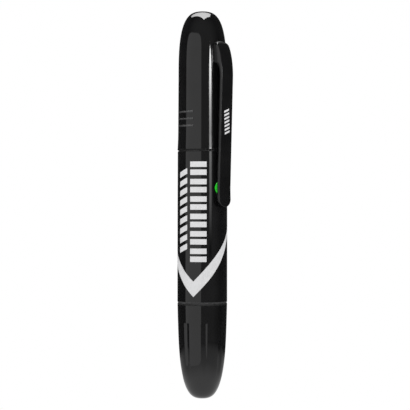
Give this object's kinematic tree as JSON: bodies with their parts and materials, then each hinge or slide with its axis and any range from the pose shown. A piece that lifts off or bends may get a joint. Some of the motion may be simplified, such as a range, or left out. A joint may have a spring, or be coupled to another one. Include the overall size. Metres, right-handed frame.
{
  "type": "counterfeit detector pen",
  "caption": "Counterfeit detector pen with a capped felt nib at one end, a capped ultraviolet lamp at the other, a pocket clip and a side push button.",
  "frame": {"origin": "on the pen's axis, at the seam between the barrel and the nib cap, which is the lower end of the straight round grip", "axes": "+Z along the pen from the nib towards the top cap. The clip and the push button face +X and -Y, 45 degrees round from the pen's front, which faces -Y"},
  "size_m": [0.0202, 0.0202, 0.14],
  "materials": {
    "shell_black": "deep gloss black",
    "neck_black": "gloss black",
    "clip_black": "satin gloss black",
    "nib_felt": "ink-soaked felt",
    "reservoir_fibre": "bonded fibre, damp",
    "wrap_film": "thin clear film",
    "plug_grey": "moulded grey",
    "liner_white": "milky moulded seal",
    "sleeve_grey": "moulded dark grey",
    "button_green": "bright translucent green",
    "switch_cream": "moulded cream",
    "switch_metal": "stamped steel",
    "board_green": "solder resist",
    "indicator_lens": "clear green",
    "carrier_grey": "moulded grey",
    "spring_steel": "plated wire",
    "cell_steel": "nickel plate",
    "contact_brass": "gilded brass",
    "housing_grey": "satin dark grey",
    "part_black": "small moulded component",
    "lamp_violet": "clear resin, violet tint",
    "reflector_chrome": "vacuum metallised",
    "lens_clear": "clear moulded lens",
    "seal_rubber": "black rubber",
    "bezel_black": "satin black"
  },
  "bodies": {
    "barrel": {"barrel": "shell_black", "nib_section": "neck_black", "nib": "nib_felt", "ink_reservoir": "reservoir_fibre", "reservoir_film": "wrap_film", "reservoir_plug": "plug_grey", "switch_body": "switch_metal", "switch_board": "board_green", "indicator_led": "indicator_lens", "switch_carrier": "carrier_grey", "spring_plate": "spring_steel", "battery_spring": "spring_steel", "cell_1": "cell_steel", "cell_2": "cell_steel", "cell_3": "cell_steel", "contact_disc": "contact_brass", "lamp_housing": "housing_grey", "return_strip": "contact_brass", "lamp_board": "board_green", "board_resistor": "part_black", "uv_led": "lamp_violet"},
    "nib_cap": {"nib_cap": "shell_black", "nib_cap_liner": "liner_white"},
    "top_cap": {"top_cap": "shell_black", "cap_inner_sleeve": "sleeve_grey"},
    "clip": {"pocket_clip": "clip_black"},
    "button": {"side_button": "button_green"},
    "plunger": {"switch_plunger": "switch_cream"},
    "lens_stack": {"reflector": "reflector_chrome", "lamp_lens": "lens_clear", "bezel_o_ring": "seal_rubber"},
    "bezel": {"lamp_bezel": "bezel_black"}
  },
  "joints": [
    {"name": "nib_cap_pull", "type": "slide", "parent": "barrel", "child": "nib_cap", "axis": [0, 0, -1], "range_m": [0, 0.036]},
    {"name": "top_cap_pull", "type": "slide", "parent": "barrel", "child": "top_cap", "axis": [0, 0, 1], "range_m": [0, 0.05]},
    {"name": "clip_flex", "type": "hinge", "parent": "top_cap", "child": "clip", "pos_m": [0.00566, -0.00566, 0.0893], "axis": [-0.7071, -0.7071, 0], "range_deg": [0, 3.5], "stiffness_Nm_per_rad": 1.5},
    {"name": "button_press", "type": "slide", "parent": "barrel", "child": "button", "axis": [-0.7071, 0.7071, 0], "range_m": [0, 0.0004], "stiffness_N_per_m": 1500},
    {"name": "plunger_press", "type": "slide", "parent": "barrel", "child": "plunger", "axis": [-0.7071, 0.7071, 0], "range_m": [0, 0.0004]},
    {"name": "lens_rise", "type": "slide", "parent": "barrel", "child": "lens_stack", "axis": [0, 0, 1], "range_m": [0, 0.005]},
    {"name": "bezel_turn", "type": "hinge", "parent": "lens_stack", "child": "bezel", "pos_m": [0, 0, 0.0725], "axis": [0, 0, 1], "range_deg": [0, 1445]}
  ],
  "couplings": [
    {"joint": "plunger_press", "follows": "button_press", "ratio": 1},
    {"joint": "bezel_turn", "follows": "lens_rise", "rad_per_m": 5026.5}
  ]
}
